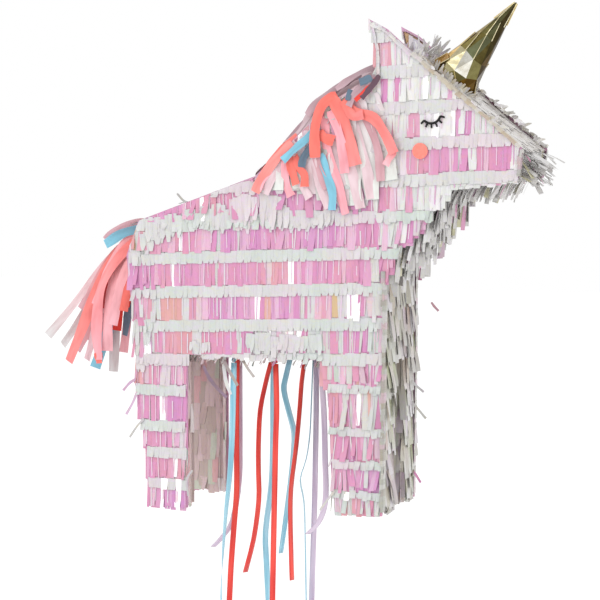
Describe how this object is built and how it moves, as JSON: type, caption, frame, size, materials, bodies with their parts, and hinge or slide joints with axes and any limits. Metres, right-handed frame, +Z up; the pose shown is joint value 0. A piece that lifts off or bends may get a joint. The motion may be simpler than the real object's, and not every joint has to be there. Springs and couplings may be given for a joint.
{
  "type": "pull-string pinata",
  "caption": "Hollow card unicorn pinata with film fringe, paper mane and tail, foil horn, and a belly trap door that drops when its ribbon is pulled.",
  "frame": {"origin": "middle of the hanging eyelet's hole, at the crest's card surface, above the part's centre of mass", "axes": "+X towards the nose, -Y towards the side that faces the viewer with the nose on the right, +Z up as it hangs"},
  "size_m": [0.5672, 0.122, 0.6913],
  "materials": {
    "card": "plain brown card",
    "film_pink": "iridescent pink film fringe",
    "film_pale": "pearly pale film fringe",
    "tissue": "coral, pink, grey-pink and blue tissue strips",
    "gold_foil": "crumpled gold foil on card",
    "eyelet_plastic": "white plastic",
    "tape": "clear tape",
    "tab_card": "white card",
    "felt_black": "black felt",
    "felt_coral": "coral felt",
    "ribbon_red": "red satin ribbon",
    "ribbon_blue": "light blue satin ribbon",
    "ribbon_lilac": "pale lilac satin ribbon"
  },
  "bodies": {
    "box": {"near_side_panel": "card", "far_side_panel": "card", "rump_strip": "card", "spine_strip": "card", "crest_strip": "card", "forehead_strip": "card", "nose_strip": "card", "jaw_strip": "card", "throat_strip": "card", "chest_strip": "card", "belly_floor": "card", "door_hinge_tape": "tape", "near_rear_leg_liner": "card", "far_rear_leg_liner": "card", "near_front_leg_liner": "card", "far_front_leg_liner": "card", "near_rear_foot": "card", "far_rear_foot": "card", "near_front_foot": "card", "far_front_foot": "card", "horn_cone": "gold_foil", "horn_collar": "gold_foil", "hanging_eyelet": "eyelet_plastic", "eyelet_washer": "eyelet_plastic", "tail": "tissue", "mane_near": "tissue", "mane_far": "tissue", "mane_crest": "tissue", "eyelash_near": "felt_black", "eyelash_far": "felt_black", "cheek_near": "felt_coral", "cheek_far": "felt_coral", "near_side_fringe": "film_pink", "far_side_fringe": "film_pink", "back_fringe": "film_pale", "forehead_fringe": "film_pale", "muzzle_fringe": "film_pale", "throat_fringe": "film_pale", "chest_fringe": "film_pale", "belly_fringe": "film_pale", "near_rear_leg_fringe": "film_pale", "far_rear_leg_fringe": "film_pale", "near_front_leg_fringe": "film_pale", "far_front_leg_fringe": "film_pale"},
    "door": {"trap_door": "card", "door_fringe": "film_pale", "door_catch_tab": "tab_card", "ribbon_knots": "ribbon_red"},
    "ribbon_blue_left_body": {"ribbon_blue_left": "ribbon_blue"},
    "ribbon_red_centre_body": {"ribbon_red_centre": "ribbon_red"},
    "ribbon_red_front_body": {"ribbon_red_front": "ribbon_red"},
    "ribbon_red_middle_body": {"ribbon_red_middle": "ribbon_red"},
    "ribbon_lilac_curl_body": {"ribbon_lilac_curl": "ribbon_lilac"},
    "ribbon_red_back_body": {"ribbon_red_back": "ribbon_red"},
    "ribbon_lilac_back_body": {"ribbon_lilac_back": "ribbon_lilac"},
    "ribbon_blue_middle_body": {"ribbon_blue_middle": "ribbon_blue"},
    "ribbon_blue_centre_body": {"ribbon_blue_centre": "ribbon_blue"},
    "ribbon_blue_edge_body": {"ribbon_blue_edge": "ribbon_blue"},
    "ribbon_lilac_front_body": {"ribbon_lilac_front": "ribbon_lilac"}
  },
  "joints": [
    {"name": "door_hinge", "type": "hinge", "parent": "box", "child": "door", "pos_m": [-0.108, 0, -0.228], "axis": [0, 1, 0], "range_deg": [0, 90]},
    {"name": "ribbon_blue_left_hang", "type": "hinge", "parent": "door", "child": "ribbon_blue_left_body", "pos_m": [-0.083, -0.034, -0.237], "axis": [0, 1, 0], "range_deg": [-90, 0]},
    {"name": "ribbon_red_centre_hang", "type": "hinge", "parent": "door", "child": "ribbon_red_centre_body", "pos_m": [-0.037, -0.0275, -0.237], "axis": [0, 1, 0], "range_deg": [-90, 0]},
    {"name": "ribbon_red_front_hang", "type": "hinge", "parent": "door", "child": "ribbon_red_front_body", "pos_m": [-0.007, -0.0205, -0.237], "axis": [0, 1, 0], "range_deg": [-90, 0]},
    {"name": "ribbon_red_middle_hang", "type": "hinge", "parent": "door", "child": "ribbon_red_middle_body", "pos_m": [-0.048, -0.0135, -0.237], "axis": [0, 1, 0], "range_deg": [-90, 0]},
    {"name": "ribbon_lilac_curl_hang", "type": "hinge", "parent": "door", "child": "ribbon_lilac_curl_body", "pos_m": [0.006, -0.007, -0.237], "axis": [0, 1, 0], "range_deg": [-90, 0]},
    {"name": "ribbon_red_back_hang", "type": "hinge", "parent": "door", "child": "ribbon_red_back_body", "pos_m": [-0.094, 0, -0.237], "axis": [0, 1, 0], "range_deg": [-90, 0]},
    {"name": "ribbon_lilac_back_hang", "type": "hinge", "parent": "door", "child": "ribbon_lilac_back_body", "pos_m": [-0.094, 0.007, -0.237], "axis": [0, 1, 0], "range_deg": [-90, 0]},
    {"name": "ribbon_blue_middle_hang", "type": "hinge", "parent": "door", "child": "ribbon_blue_middle_body", "pos_m": [-0.037, 0.0135, -0.237], "axis": [0, 1, 0], "range_deg": [-90, 0]},
    {"name": "ribbon_blue_centre_hang", "type": "hinge", "parent": "door", "child": "ribbon_blue_centre_body", "pos_m": [-0.059, 0.0205, -0.237], "axis": [0, 1, 0], "range_deg": [-90, 0]},
    {"name": "ribbon_blue_edge_hang", "type": "hinge", "parent": "door", "child": "ribbon_blue_edge_body", "pos_m": [-0.015, 0.0275, -0.237], "axis": [0, 1, 0], "range_deg": [-90, 0]},
    {"name": "ribbon_lilac_front_hang", "type": "hinge", "parent": "door", "child": "ribbon_lilac_front_body", "pos_m": [-0.014, 0.034, -0.237], "axis": [0, 1, 0], "range_deg": [-90, 0]}
  ],
  "couplings": [
    {"joint": "ribbon_blue_left_hang", "follows": "door_hinge", "ratio": -1},
    {"joint": "ribbon_red_centre_hang", "follows": "door_hinge", "ratio": -1},
    {"joint": "ribbon_red_front_hang", "follows": "door_hinge", "ratio": -1},
    {"joint": "ribbon_red_middle_hang", "follows": "door_hinge", "ratio": -1},
    {"joint": "ribbon_lilac_curl_hang", "follows": "door_hinge", "ratio": -1},
    {"joint": "ribbon_red_back_hang", "follows": "door_hinge", "ratio": -1},
    {"joint": "ribbon_lilac_back_hang", "follows": "door_hinge", "ratio": -1},
    {"joint": "ribbon_blue_middle_hang", "follows": "door_hinge", "ratio": -1},
    {"joint": "ribbon_blue_centre_hang", "follows": "door_hinge", "ratio": -1},
    {"joint": "ribbon_blue_edge_hang", "follows": "door_hinge", "ratio": -1},
    {"joint": "ribbon_lilac_front_hang", "follows": "door_hinge", "ratio": -1}
  ]
}
